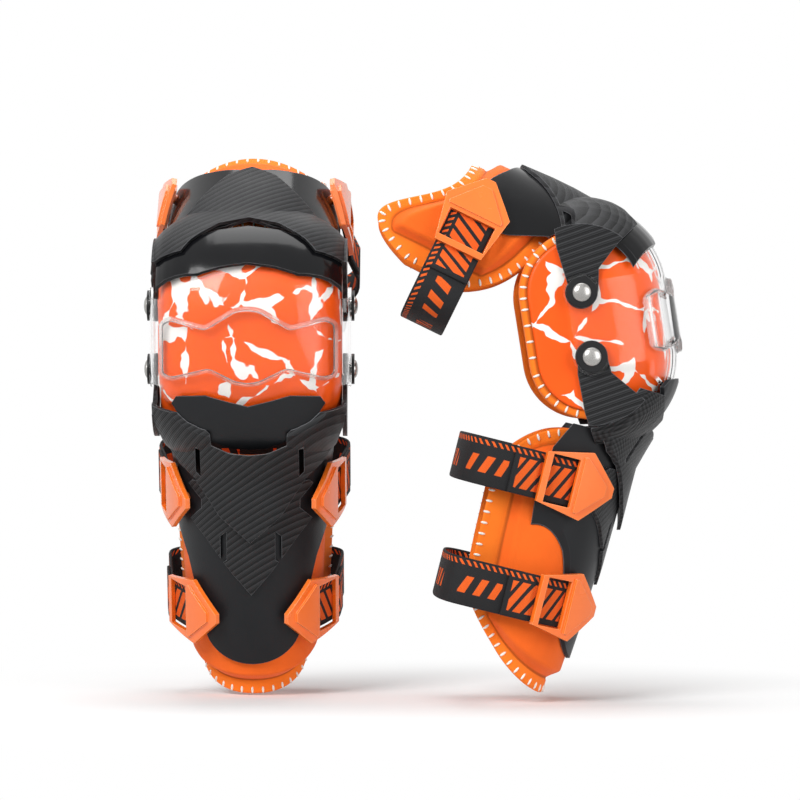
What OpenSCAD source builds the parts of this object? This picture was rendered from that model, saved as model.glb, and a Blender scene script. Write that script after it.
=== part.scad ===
// Pair of hinged motorcycle knee guards, each flexed as worn.
// One guard faces the viewer (-Y) and its twin is turned to face +X.
// Guard frame: +Z up, front towards -Y, origin midway between the two lower pivots of the left guard.

/* [Pair] */
// Distance between the knee centres of the two guards
pair_spacing = 275; // [250:1:330]
// How much higher the right guard is held than the left one
right_lift = 9; // [0:1:20]
// How far the left guard is pitched, foot backwards, in degrees
left_pitch = 4; // [0:1:10]
// Lean of the left guard's knee cup from its shin, top backwards, in degrees
left_knee_tilt = -1; // [-3:1:9]
// Lean of the right guard's knee cup from its shin, top backwards, in degrees
right_knee_tilt = 9; // [-3:1:12]
// Lean of the thigh section from the knee cup, top backwards, in degrees
thigh_bend = 49; // [45:1:57]

/* [Knee] */
// Distance between the upper and the lower pivot
pivot_spacing = 52; // [48:1:60]
// Half of the clear width between the knee pad's cheeks
knee_half_width = 66; // [60:1:76]
// Thickness of the knee pad
knee_pad_wall = 6; // [5:0.5:7]
// Radius of the knee pad's cheeks around the pivots
knee_pad_r = 50; // [47:0.5:51]
// Wall of the printed knee liner
liner_wall = 2.2; // [1.6:0.1:2.6]
// Width of the knee pad's rim that shows round the liner
pad_rim_show = 7; // [5:0.5:9]
// Outer radius of the clear knee cup around each pivot
cup_r = 73; // [71:0.5:76]
// Wall of the clear knee cup
cup_wall = 3; // [2.5:0.1:3.5]
// Height of the cup's raised panel
panel_rise = 5; // [3:0.5:6]
// Radial room between the cup and the printed liner
liner_room = 2.5; // [2:0.5:4]
// Wall of the visor and of the chin plate
visor_wall = 2.6; // [2:0.1:3.2]

/* [Pivots] */
// Thickness of a pivot arm
arm_wall = 3.6; // [3:0.1:4.2]
// Radius of the round end of a pivot arm
arm_end_r = 13; // [12:0.5:14]
// Radius of the cup's pivot lugs
lug_r = 15; // [14:0.5:16]
// Radius of a pivot rivet's shank
rivet_r = 4; // [3:0.1:5]
// Radius of a pivot rivet's domed head
rivet_head_r = 7.5; // [7:0.1:8.5]
// Height of a pivot rivet's domed head
rivet_head_h = 3; // [2:0.1:3.5]
// Radius of the round washer under a rivet's head
washer_r = 12.5; // [11.5:0.1:13.5]
// Thickness of that washer
washer_wall = 2.4; // [1.6:0.1:3]

/* [Shin] */
// Forward lean of the shin section, in degrees
shin_lean = 14; // [12:1:16]
// How far the shin's centre line lies behind the pivots
shin_axis_back = 12; // [10:1:14]
// Wall of the shin shell and of the thigh shell
shell_wall = 3; // [2.5:0.1:3.5]
// Wall of the shin's middle plate
plate_wall = 2.5; // [2:0.1:3]
// Wall of the shin frame and of the thigh frame
frame_wall = 3; // [2.5:0.1:3.5]
// Thickness of the pads at their raised middle
pad_boss = 13; // [10:0.5:15]
// Thickness of the pads' sewn rim
pad_rim = 4; // [3:0.5:5]

/* [Thigh] */
// Backward lean of the thigh's centre line from the pivots, in degrees
thigh_lean = 6; // [4:1:8]

/* [Straps and clips] */
// Width of the elastic straps
strap_w = 38; // [32:1:40]
// Thickness of the elastic straps
strap_wall = 2.4; // [2:0.1:2.8]
// Length of a strap clip from its bar to its point
clip_len = 64; // [58:1:68]
// Widest part of a strap clip
clip_w = 56; // [52:1:60]
// Wall of a strap clip
clip_wall = 4; // [3:0.1:5]

/* [Hidden] */
$fn = 96;
guards = ["left", "right"];
pitches = [left_pitch, 0];
knee_tilts = [left_knee_tilt, right_knee_tilt];
PIECES = ["shin_pad", "shin_shell", "shin_plate", "shin_frame", "chin_plate",
    "upper_shin_clip_inner", "upper_shin_clip_outer", "lower_shin_clip_inner", "lower_shin_clip_outer",
    "upper_shin_strap", "lower_shin_strap",
    "knee_pad", "knee_liner", "knee_cup", "lower_rivets", "upper_rivets", "lower_washers", "upper_washers",
    "thigh_pad", "thigh_shell", "thigh_frame", "knee_visor",
    "thigh_clip_inner", "thigh_clip_outer", "thigh_strap"];
NODES = [for (g = guards) for (p = PIECES) str(g, "_", p)];
node = "all";

// Room between stacked pieces, and round a turning rivet
gap = 0.4;
pivot_play = 0.05;
// How far the drums' edges sink into the flat cheeks they join
lap = 1;
// Longer than any piece, for cutting through
through = 500;

// Lateral stack of the knee, from the leg outwards
liner_in = knee_half_width + knee_pad_wall + gap;
liner_out = liner_in + liner_wall;
arm_in = liner_out + gap + 0.3;
arm_out = arm_in + arm_wall;
lug_in = arm_out + gap;
lug_out = lug_in + cup_wall;
washer_out = lug_out + washer_wall;

// Radial stack of the knee, from the cup inwards and outwards
liner_r = cup_r - cup_wall - liner_room;
pad_front_r = liner_r - liner_wall - gap;
visor_r = cup_r + 1.5 + visor_wall;
frame_drum_r = visor_r + gap + frame_wall;
visor_half = lug_out + 4;
frame_drum_half = visor_half + gap + frame_wall;
// Flat pivot arms run out to this radius, where the frames' rounded cheeks begin
arm_reach = 55;
drum_power = 2.8;
drum_steps = 20;
liner_cheek_r = knee_pad_r - pad_rim_show;
// Elevations of the drum sectors above and below straight ahead
cup_sweep = 44;
liner_sweep = 40;

// Outer radius of the shin shell at height s along the shin's centre line
shin_heights = [-268, -240, -215, -188, -160, -128, -95, -75, -52];
shell_r = function (s) lookup(s, [[-268, 55], [-215, 59.7], [-160, 62.6], [-95, 64.3], [-75, 66.5], [-52, 69]]);
plate_r = function (s) shell_r(s) + gap + plate_wall;
// The frame follows the plate and flares out to the pivot arms at its top
frame_r = function (s) max(plate_r(s) + gap + frame_wall, lookup(s, [[-75, 72.5], [-44, 82], [-30, 83]]));
frame_heights = [-165, -128, -100, -75, -60, -44, -30];
// Outer radius of the thigh shell at height t along the thigh's centre line
thigh_shell_r = function (t) lookup(t, [[10, 73], [40, 74.7], [60, 74.7], [95, 73], [130, 71]]);
thigh_frame_r = function (t) thigh_shell_r(t) + gap + frame_wall;
thigh_heights = [10, 25, 40, 60, 78, 95, 112, 130];

// Mirrors a half outline, which runs from one point on the centre line to another
function both_sides(half) = concat(half,
    [for (i = [len(half) - 1 : -1 : 0]) if (half[i][0] != 0) [-half[i][0], half[i][1]]]);

// Half width of the knee that the front outlines are drawn at; they widen with the knee
drawn_half_width = 66;
function widened(outline) = [for (p = outline) [p[0] * knee_half_width / drawn_half_width, p[1]]];
// Half outlines, seen from the front: distance from the centre line, height
frame_front = [[0, -67], [15, -65.5], [34, -57.5], [53, -43.5], [76, -43.5], [74, -50], [70, -58], [58, -76],
    [45, -88], [25, -119], [0, -141]];
frame_cheek = [[31, -49], [44, -36], [57, -21], [66, -16], [80, -14], [80, -32], [76, -44], [70, -60],
    [60, -72], [30, -72]];
plate_front = [[0, -88], [46, -88], [62, -102], [58, -112], [39, -136], [17, -166], [0, -186]];
shell_front = [[0, -72], [40, -56], [80, -52], [80, -104], [65, -120], [53, -156], [40, -212],
    [38, -222], [22, -241], [0, -246]];
chin_front = [[0, -26], [20, -21], [34, -17], [58, -18], [62, -24], [50, -42], [32, -55], [14, -62], [0, -63]];
cup_front = [[0, pivot_spacing + 52], [40, pivot_spacing + 48], [60, pivot_spacing + 40],
    [69, pivot_spacing + 26],
    [70.5, pivot_spacing + 8], [90, pivot_spacing + 8], [90, -10], [70.5, -10],
    [68, -22], [56, -30], [38, -38], [0, -46]];
panel_front = [[0, pivot_spacing + 2], [10, pivot_spacing + 0.5], [34, pivot_spacing - 14],
    [62, pivot_spacing - 7],
    [70, pivot_spacing - 11], [70, 0], [62, -3], [31, 5], [10, -5.5], [0, -7]];
visor_front = [[0, 15], [26, 10], [50, 2], [66, 10], [80, 10], [80, -24], [66, -26], [40, -31], [18, -27],
    [0, -25]];
thigh_frame_front = [[0, 24], [24, 16], [46, 0], [58, -14], [66, -20], [90, -20], [90, 26], [64, 40],
    [42, 64], [20, 86], [0, 95]];
thigh_shell_front = [[0, 30], [50, 24], [62, 26], [90, 30], [90, 122], [60, 114], [34, 102], [0, 93]];

// Outlines seen from the side: distance forward, height
frame_side = [[-6, -34], [110, -34], [110, -160], [16, -160], [15, -104], [5, -71], [-4, -52]];
arm_side = [[-11, 0], [-11, -14], [-5, -46], [4, -70], [60, -70], [60, -44],
    [42, -34], [16, -12.5], [12.5, 0]];
// The frame's rounded cheeks reach higher than its flat arms, which keep clear of the cup
cheek_side = [[-11, 0], [-11, -14], [-5, -46], [4, -70], [60, -70], [60, -31],
    [35, -23.5], [16, -12.5], [12.5, 0]];
shell_side = [[-8, -46], [110, -46], [110, -260], [-40, -260], [-58, -214],
    [-52, -160], [-44, -110], [-30, -72]];
thigh_frame_side = [[6, 20], [20, 36], [40, 52], [56, 66], [58, 96], [110, 96],
    [110, -40], [40, -40], [26, -14]];
thigh_arm_side = [[8, -11], [0, 13], [6, 20], [20, 36], [40, 52], [56, 66], [80, 66], [80, -12],
    [50, -4], [24, -1.5]];
thigh_shell_side = [[34, 20], [110, 20], [110, 130], [22, 126], [9, 112], [3, 92], [8, 74], [28, 40]];

// Moves children to a guard's place in the pair
module place(g) {
    translate([g * pair_spacing, 0, g * right_lift]) rotate([0, 0, 90 * g])
        rotate([pitches[g], 0, 0]) children();
}

// Moves children from the knee's own frame, upright on the lower pivot, to its flexed place
module on_knee(g) {
    place(g) rotate([-knee_tilts[g], 0, 0]) children();
}

// Moves children from the thigh's own frame, upright on the upper pivot, to its flexed place
module on_thigh(g) {
    on_knee(g) translate([0, 0, pivot_spacing]) rotate([-thigh_bend, 0, 0]) children();
}

// Moves children from the shin's own frame to its leaning centre line
module on_shin_axis() {
    translate([0, shin_axis_back, 0]) rotate([shin_lean, 0, 0]) children();
}

// Moves children from the thigh's own frame to its leaning centre line
module on_thigh_axis() {
    rotate([-thigh_lean, 0, 0]) children();
}

// Solid behind a half outline seen from the front
module front_prism(half) {
    rotate([90, 0, 0]) linear_extrude(through, center = true) polygon(both_sides(half));
}

// Solid behind an outline seen from the side
module side_prism(outline) {
    rotate([90, 0, -90]) linear_extrude(through, center = true) polygon(outline);
}

// Wall turned about the vertical axis: outer radius r_of(z) at each of the given heights
module turned_wall(r_of, heights, wall) {
    outer = [for (z = heights) [r_of(z), z]];
    inner = [for (i = [len(heights) - 1 : -1 : 0]) [r_of(heights[i]) - wall, heights[i]]];
    rotate_extrude() polygon(concat(outer, inner));
}

// Solid turned about the vertical axis, out to a clearance beyond the wall's outer radius
module turned_core(r_of, heights, clearance) {
    low = heights[0];
    high = heights[len(heights) - 1];
    rotate_extrude() polygon(concat([[0, low]], [for (z = heights) [r_of(z) + clearance, z]], [[0, high]]));
}

// Points of a drum's rounded cross section: distance from the pivot line, sideways
function drum_curve(r, half) = [for (i = [1 : drum_steps - 1])
    let (a = 180 * i / drum_steps)
    [r * pow(sin(a), 2 / drum_power), half * sign(cos(a)) * pow(abs(cos(a)), 2 / drum_power)]];

function reversed(list) = [for (i = [len(list) - 1 : -1 : 0]) list[i]];

// Cross section of a drum wall; a root radius above 0 carries its edges in towards the pivot line
function drum_band(r, half, wall, side_wall, root) = let (edge = half - side_wall / 4, back = half - side_wall)
    concat(root > 0 ? [[root, edge]] : [], drum_curve(r, half), root > 0 ? [[root, -edge], [root, -back]] : [],
    reversed(drum_curve(r - wall, back)), root > 0 ? [[root, back]] : []);

// Drum wall swept about the sideways axis between two elevations, measured up from straight ahead
module drum_sector(low, high, r, half, wall, side_wall, root = 0) {
    rotate([0, 90, 0]) rotate([0, 0, -90 - high]) rotate_extrude(angle = high - low)
        polygon(drum_band(r, half, wall, side_wall, root));
}

// Drum wall round both pivots of the knee; its flat stretch between them stands a hair proud
module knee_drum(sweep, r, half, wall, side_wall, root = 0) {
    hair = 0.06;
    proud = drum_band(r + hair, half + hair, wall + 2 * hair, side_wall + 2 * hair, root > 0 ? root - hair : 0);
    band = [for (p = proud) [p[1], -p[0]]];
    translate([0, 0, pivot_spacing]) drum_sector(0, sweep, r, half, wall, side_wall, root);
    linear_extrude(pivot_spacing) polygon(band);
    drum_sector(-sweep, 0, r, half, wall, side_wall, root);
}

// Flat disc lying across the pivot line on both sides of the knee
module side_discs(x_in, x_out, r) {
    for (side = [0, 1]) mirror([side, 0, 0])
        translate([x_in, 0, 0]) rotate([0, 90, 0]) cylinder(r = r, h = x_out - x_in);
}

// Room kept clear round a pivot line for the knee's cheeks to turn in
module knee_room() {
    translate([-arm_in + 0.1, 0, 0]) rotate([0, 90, 0]) cylinder(r = knee_pad_r + 1.5, h = 2 * arm_in - 0.2);
}

// Flat pivot arms on both sides, cut to a side outline, with their round ends
module pivot_arms(outline) {
    intersection() {
        side_discs(arm_in, arm_out, arm_reach);
        side_prism(outline);
    }
    side_discs(arm_in, arm_out, arm_end_r);
}

// Closed sheet between two grids of points with the same rows and columns
module sheet(outer, inner) {
    rows = len(outer);
    cols = len(outer[0]);
    area = rows * cols;
    points = [for (g = [outer, inner]) for (row = g) for (p = row) p];
    skin = [for (i = [0 : rows - 2]) for (j = [0 : cols - 2])
        let (a = i * cols + j, b = a + 1, c = a + cols, d = c + 1) each [[a, b, d], [a, d, c]]];
    back = [for (f = skin) [f[0] + area, f[2] + area, f[1] + area]];
    edge = concat([for (j = [0 : cols - 1]) j], [for (i = [1 : rows - 1]) i * cols + cols - 1],
        [for (j = [cols - 2 : -1 : 0]) (rows - 1) * cols + j], [for (i = [rows - 2 : -1 : 1]) i * cols]);
    count = len(edge);
    rim = [for (k = [0 : count - 1]) let (a = edge[k], b = edge[(k + 1) % count])
        each [[b, a, a + area], [b, a + area, b + area]]];
    polyhedron(points, concat(skin, back, rim));
}

// Smooth step from 0 to 1 as x goes from a to b
function ease(x, a, b) = let (u = min(1, max(0, (x - a) / (b - a)))) u * u * (3 - 2 * u);

// Point of a trough-shaped section: round to the side, then straight back
trough_angle = 92;
// Angle from which a pad's wings flare outwards
flare_angle = 97;
function trough(r, angle) = let (a = min(abs(angle), trough_angle), run = r * (abs(angle) - a) * PI / 180)
    [sign(angle) * (r * sin(a) + run * cos(a)), -r * cos(a) + run * sin(a)];

// Rounds off a pad's corners: how far its edge draws in towards the end of its wrap
function round_off(angle, wrap, depth) = depth * pow(abs(angle) / wrap, 14);

// Pad moulded round the limb: inner radius r_of(z), between heights low(angle) and high(angle)
module moulded_pad(r_of, low, high, wrap, flare, cols, rows) {
    rim_w = 13;
    rise_w = 9;
    function spread(u) = sign(u) * (1 - pow(1 - abs(u), 1.25));
    function at(i, j, raised) = let (u = spread(2 * j / cols - 1), v = (spread(2 * i / rows - 1) + 1) / 2,
        angle = u * wrap, z0 = low(angle), z1 = high(angle), z = z0 + (z1 - z0) * v,
        base = r_of(z) + flare * pow(max(0, abs(angle) - flare_angle) / (wrap - flare_angle), 1.5),
        inset = min((1 - abs(u)) * wrap * base * PI / 180, (z - z0), (z1 - z)),
        top = raised * (pad_rim + (pad_boss - pad_rim) * ease(inset, rim_w, rim_w + rise_w)),
        p = trough(base + top, angle)) [p[0], p[1], z];
    sheet([for (i = [0 : rows]) [for (j = [0 : cols]) at(i, j, 1)]],
        [for (i = [0 : rows]) [for (j = [0 : cols]) at(i, j, 0)]]);
}

// Point on the curve of a clip: u along the clip from its middle, towards the back, at a height over the limb
function clip_point(r, angle, u, lift) = let (n = [sin(angle), -cos(angle)], d = [cos(angle), sin(angle)])
    n * (r + lift - u * u / 2 / clip_curve) + d * u;

// Path of a strap in its own plane: under its clip from the slot, past the pad's wings, round the back
function strap_path(r, angle, half, back) =
    let (from = clip_len / 2 - clip_bar - clip_slot, to = clip_len / 2 + 3)
    concat([for (i = [0 : 6]) clip_point(r, angle, from + (to - from) * i / 6, gap)],
    [for (i = [0 : 14]) let (a = 90 * i / 14)
        [half * pow(cos(a), 0.7), 42 + (back - 42) * pow(sin(a), 0.7)]]);

// Flat band of even thickness along a half path and its mirror image
module strap_band(r, angle, half, back) {
    path = both_sides(strap_path(r, angle, half, back));
    last = len(path) - 1;
    normal = [for (i = [0 : last])
        let (d = path[min(last, i + 1)] - path[max(0, i - 1)]) [d[1], -d[0]] / norm(d)];
    linear_extrude(strap_w, center = true)
        polygon(concat(path, [for (i = [last : -1 : 0]) path[i] + normal[i] * strap_wall]));
}

// Outline of a strap clip: bar at x = 0, point at x = -clip_len, widths along y
clip_bar = 5;
// Radius of the clips' own gentle curve
clip_curve = 140;
// Stud that holds a clip on its shell: radius, and distance from the clip's middle towards its point
stud_r = 4;
stud_u = 14;
clip_slot = 23;
// Half width of a clip's bar beyond the strap's edge
clip_rail = 1.44;
function clip_outline(inset) = let (l = clip_len - 1.6 * inset, bar = strap_w / 2 + clip_rail - 0.73 * inset,
    w = max(clip_w / 2 - inset, bar))
    [[-inset, -bar], [-inset, bar], [-0.6 * l, w], [-l, 4], [-l, -4], [-0.6 * l, -w]];

// Prism of an outline that stands on the limb's side wall, centred on the clip
module clip_prism(angle, outline) {
    rotate([0, 0, angle]) translate([clip_len / 2, 0, 0]) rotate([90, 0, 0])
        linear_extrude(through) polygon(outline);
}

// Slice of the clip's curve between two heights over a limb of radius r
module clip_ring(r, angle, low, high) {
    rotate([0, 0, angle]) translate([0, clip_curve - r, 0]) difference() {
        cylinder(r = clip_curve + high, h = clip_w + 2, center = true);
        cylinder(r = clip_curve + low, h = clip_w + 4, center = true);
    }
}

// Stud or its hole, from the limb's radius r_in out to r_out, in the clip's plane
module clip_stud(angle, rad, r_in, r_out) {
    rotate([0, 0, angle]) translate([-stud_u, -r_in, 0]) rotate([90, 0, 0]) cylinder(r = rad, h = r_out - r_in);
}

// Curved strap clip on a limb of radius r, its stud down to r_in, its middle at the given angle from the front
module clip(r, r_in, angle) {
    strap_room = strap_wall + 2 * gap;
    slot = [[-clip_bar, -strap_w / 2 - 0.8], [-clip_bar, strap_w / 2 + 0.8],
        [-clip_bar - clip_slot, strap_w / 2 + 0.8], [-clip_bar - clip_slot, -strap_w / 2 - 0.8]];
    nose = [[-clip_bar - clip_slot - 3, -clip_w / 2], [-clip_bar - clip_slot - 3, clip_w / 2],
        [-clip_len, clip_w / 2], [-clip_len, -clip_w / 2]];
    color("darkorange") difference() {
        union() {
            intersection() {
                clip_ring(r, angle, strap_room, strap_room + clip_wall);
                clip_prism(angle, clip_outline(0));
            }
            intersection() {
                clip_ring(r, angle, gap, strap_room + 0.5);
                clip_prism(angle, clip_outline(4));
                clip_prism(angle, nose);
            }
            intersection() {
                clip_ring(r, angle, strap_room + clip_wall - 0.5, strap_room + clip_wall + 2);
                clip_prism(angle, clip_outline(5));
                clip_prism(angle, nose);
            }
            clip_stud(angle, stud_r, r_in, r + 2);
        }
        clip_prism(angle, slot);
    }
}

// Radius that clears a turned wall over a clip's height
function clear_r(r_of, z, reach) = max(r_of(z - reach), r_of(z), r_of(z + reach));

// Strap and clip stations: height along the limb and angle of the clip from the front
upper_shin_station = [-99, 68];
lower_shin_station = [-196, 50];
thigh_station = [104, 76];
// How far inwards of the shell's outer face a stud's end lies at a station
function stud_foot(r_of, station) =
    let (r = min(r_of(station[0] - stud_r), r_of(station[0] + stud_r)) - shell_wall)
    r * cos(asin((stud_u - stud_r) / r)) + 0.2;

module shin_clip(station) {
    on_shin_axis() translate([0, 0, station[0]])
        clip(clear_r(shell_r, station[0], clip_w / 2), stud_foot(shell_r, station), station[1]);
}

// Holes in the shin shell for the clips' studs
module shin_stud_holes() {
    for (side = [0, 1]) mirror([side, 0, 0]) for (station = [upper_shin_station, lower_shin_station])
        on_shin_axis() translate([0, 0, station[0]]) clip_stud(station[1], stud_r + 0.1, 30, 90);
}

module shin_strap(station, half, back) {
    color("dimgray") on_shin_axis() translate([0, 0, station[0]])
        strap_band(clear_r(shell_r, station[0], clip_w / 2), station[1], half, back);
}

module shin_pad() {
    inner = function (s) shell_r(s) - shell_wall - gap - pad_boss;
    low = function (a) -272 + 52 * pow(abs(a) / 125, 2.6) + round_off(a, 126, 16);
    high = function (a) -57 + 4 * pow(abs(a) / 60, 2) * exp(-pow(a / 75, 2)) - 30 * pow(abs(a) / 125, 6)
        - round_off(a, 126, 14);
    color("orangered") on_shin_axis() moulded_pad(inner, low, high, 126, 17, 28, 16);
}

module shin_shell() {
    color("black") difference() {
        intersection() {
            on_shin_axis() turned_wall(shell_r, shin_heights, shell_wall);
            front_prism(shell_front);
            side_prism(shell_side);
        }
        shin_stud_holes();
    }
}

module shin_plate() {
    vent = [[20, -132], [25, -136], [25, -160], [20, -156]];
    color("dimgray") difference() {
        intersection() {
            on_shin_axis() turned_wall(plate_r, [-215, -188, -160, -128, -95, -80], plate_wall);
            front_prism(plate_front);
            side_prism(shell_side);
        }
        for (side = [0, 1]) mirror([side, 0, 0]) {
            rotate([90, 0, 0]) linear_extrude(through) polygon(vent);
            on_shin_axis() translate([0, 0, upper_shin_station[0]])
                clip_prism(upper_shin_station[1], clip_outline(-1.5));
        }
    }
}

module shin_frame() {
    vent = [[40, -63], [44, -60], [44, -82], [40, -86]];
    color("dimgray") difference() {
        union() {
            difference() {
                intersection() {
                    on_shin_axis() turned_wall(frame_r, frame_heights, frame_wall);
                    front_prism(widened(frame_front));
                    side_prism(frame_side);
                }
                knee_room();
            }
            difference() {
                intersection() {
                    drum_sector(-98, -8, frame_drum_r, frame_drum_half, frame_wall, frame_wall);
                    frame_cheeks();
                    side_prism(cheek_side);
                }
                on_shin_axis() turned_core(shell_r, shin_heights, gap);
            }
            pivot_arms(arm_side);
        }
        side_discs(arm_in - 1, arm_out + 1, rivet_r + pivot_play);
        for (side = [0, 1]) mirror([side, 0, 0])
            rotate([90, 0, 0]) linear_extrude(through) polygon(vent);
    }
}

// Solids behind the rounded cheeks that carry the frame from its arms to its front
module frame_cheeks() {
    for (side = [0, 1]) mirror([side, 0, 0])
        rotate([90, 0, 0]) linear_extrude(through)
            polygon([for (p = widened(frame_cheek)) [min(p[0], arm_out), p[1]]]);
}

module chin_plate() {
    color("darkslategray") intersection() {
        drum_sector(-70, -10, visor_r, visor_half, visor_wall, visor_wall);
        front_prism(widened(chin_front));
    }
}

// Rows of the saddle-shaped knee pieces: pivot height, and elevation of the row round that pivot
saddle_rows = concat([for (i = [0 : 4]) [0, -liner_sweep + liner_sweep * i / 4]],
    [[pivot_spacing / 2, 0]], [for (i = [0 : 4]) [pivot_spacing, liner_sweep * i / 4]]);
// Radius round the pivots where the saddle's flat cheeks turn into its round front
saddle_root = 12;
// How much further round the pivots the saddle's sides reach than its front
saddle_spread = 0.8;

// One row of a saddle: from one cheek's back edge over the front to the other cheek's back edge
function saddle_row(row, r, half, cheek_r) = let (e = row[1], e2 = e * 90 / liner_sweep,
    e1 = e * (1 + saddle_spread), near = saddle_root * [cos(e1), sin(e1)],
    far = cheek_r * [-cos(e2), sin(e2)],
    cheek = [for (i = [0 : 1]) let (p = far + (near - far) * i / 2) [half, -p[0], row[0] + p[1]]],
    front = [for (i = [0 : 14]) let (a = 180 * i / 14,
            turn = e * (1 + lookup(min(i, 14 - i), [[2, saddle_spread], [4, 0]])),
            q = saddle_root + (r - saddle_root) * pow(sin(a), 2 / drum_power))
        [half * sign(cos(a)) * pow(abs(cos(a)), 2 / drum_power), -q * cos(turn), row[0] + q * sin(turn)]])
    concat(cheek, front, [for (i = [1 : -1 : 0]) [-half, cheek[i][1], cheek[i][2]]]);

// Saddle-shaped sheet over the knee, with flat cheeks round both pivots
module saddle(r, half, wall, cheek_r) {
    sheet([for (row = saddle_rows) saddle_row(row, r, half, cheek_r)],
        [for (row = saddle_rows) saddle_row(row, r - wall, half - wall, cheek_r)]);
}

module knee_pad() {
    color("orangered") saddle(pad_front_r, knee_half_width + knee_pad_wall, knee_pad_wall, knee_pad_r);
}

module knee_liner() {
    color("orange") saddle(liner_r, liner_out, liner_wall, liner_cheek_r);
}

module knee_cup() {
    color("lightcyan", 0.4) difference() {
        union() {
            intersection() {
                knee_drum(cup_sweep, cup_r, lug_out, cup_wall, cup_wall - lap, lug_r / 2);
                front_prism(widened(cup_front));
            }
            intersection() {
                knee_drum(cup_sweep - 8, cup_r + panel_rise, lug_out, panel_rise + 0.5, 1);
                front_prism(widened(panel_front));
            }
            side_discs(lug_in, lug_out, lug_r);
            translate([0, 0, pivot_spacing]) side_discs(lug_in, lug_out, lug_r);
            for (side = [0, 1]) mirror([side, 0, 0])
                translate([lug_in, -lug_r + 3, 6]) cube([cup_wall, 2 * lug_r - 6, pivot_spacing - 12]);
        }
        for (z = [0, pivot_spacing]) translate([0, 0, z])
            side_discs(lug_in - 1, lug_out + 1, rivet_r + pivot_play);
    }
}

// Domed rivets of one pivot line
module rivets() {
    color("silver") {
        side_discs(arm_in, washer_out, rivet_r);
        for (side = [0, 1]) mirror([side, 0, 0]) translate([washer_out, 0, 0]) rotate([0, 90, 0])
            rotate_extrude() polygon(concat([[0, 0]], [for (i = [0 : 6]) let (a = 15 * i)
                [rivet_head_r * cos(a), rivet_head_h * sin(a)]]));
    }
}

// Round washers of one pivot line
module washers() {
    color("black") difference() {
        side_discs(lug_out, washer_out, washer_r);
        side_discs(lug_out - 1, washer_out + 1, rivet_r + pivot_play);
    }
}

module thigh_pad() {
    inner = function (t) thigh_shell_r(t) - shell_wall - gap - pad_boss;
    low = function (a) 35 + 28 * pow(abs(a) / 114, 3) + round_off(a, 123, 20);
    high = function (a) 117 + 52 * pow(abs(a) / 79, 4) * exp(-pow(a / 105, 4)) - round_off(a, 123, 26);
    color("orangered") on_thigh_axis() moulded_pad(inner, low, high, 123, 8, 24, 12);
}

module thigh_shell() {
    color("black") difference() {
        intersection() {
            on_thigh_axis() turned_wall(thigh_shell_r, thigh_heights, shell_wall);
            front_prism(thigh_shell_front);
            side_prism(thigh_shell_side);
        }
        for (side = [0, 1]) mirror([side, 0, 0])
            on_thigh_axis() translate([0, 0, thigh_station[0]]) clip_stud(thigh_station[1], stud_r + 0.1, 30, 90);
        knee_room();
    }
}

module thigh_frame() {
    color("dimgray") difference() {
        union() {
            difference() {
                intersection() {
                    on_thigh_axis() turned_wall(thigh_frame_r, thigh_heights, frame_wall);
                    front_prism(widened(thigh_frame_front));
                    side_prism(thigh_frame_side);
                }
                knee_room();
            }
            difference() {
                intersection() {
                    drum_sector(-34, 75, frame_drum_r, frame_drum_half, frame_wall, frame_wall);
                    front_prism(widened(thigh_frame_front));
                    side_prism(thigh_arm_side);
                    translate([-arm_out, -through / 2, -through / 2]) cube([2 * arm_out, through, through]);
                }
                on_thigh_axis() turned_core(thigh_shell_r, thigh_heights, gap);
            }
            pivot_arms(thigh_arm_side);
        }
        side_discs(arm_in - 1, arm_out + 1, rivet_r + pivot_play);
    }
}

module knee_visor() {
    color("black") intersection() {
        drum_sector(-46, 20, visor_r, visor_half, visor_wall, visor_wall);
        front_prism(widened(visor_front));
        translate([-arm_in + gap, -through / 2, -through / 2]) cube([2 * (arm_in - gap), through, through]);
    }
}

module thigh_clip() {
    on_thigh_axis() translate([0, 0, thigh_station[0]])
        clip(clear_r(thigh_shell_r, thigh_station[0], clip_w / 2), stud_foot(thigh_shell_r, thigh_station), thigh_station[1]);
}

module thigh_strap() {
    color("dimgray") on_thigh_axis() translate([0, 0, thigh_station[0]])
        strap_band(clear_r(thigh_shell_r, thigh_station[0], clip_w / 2), thigh_station[1], 86, 76);
}

// True where the piece of that name is to be drawn
function wanted(g, piece) = node == "all" || node == str(guards[g], "_", piece);

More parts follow.
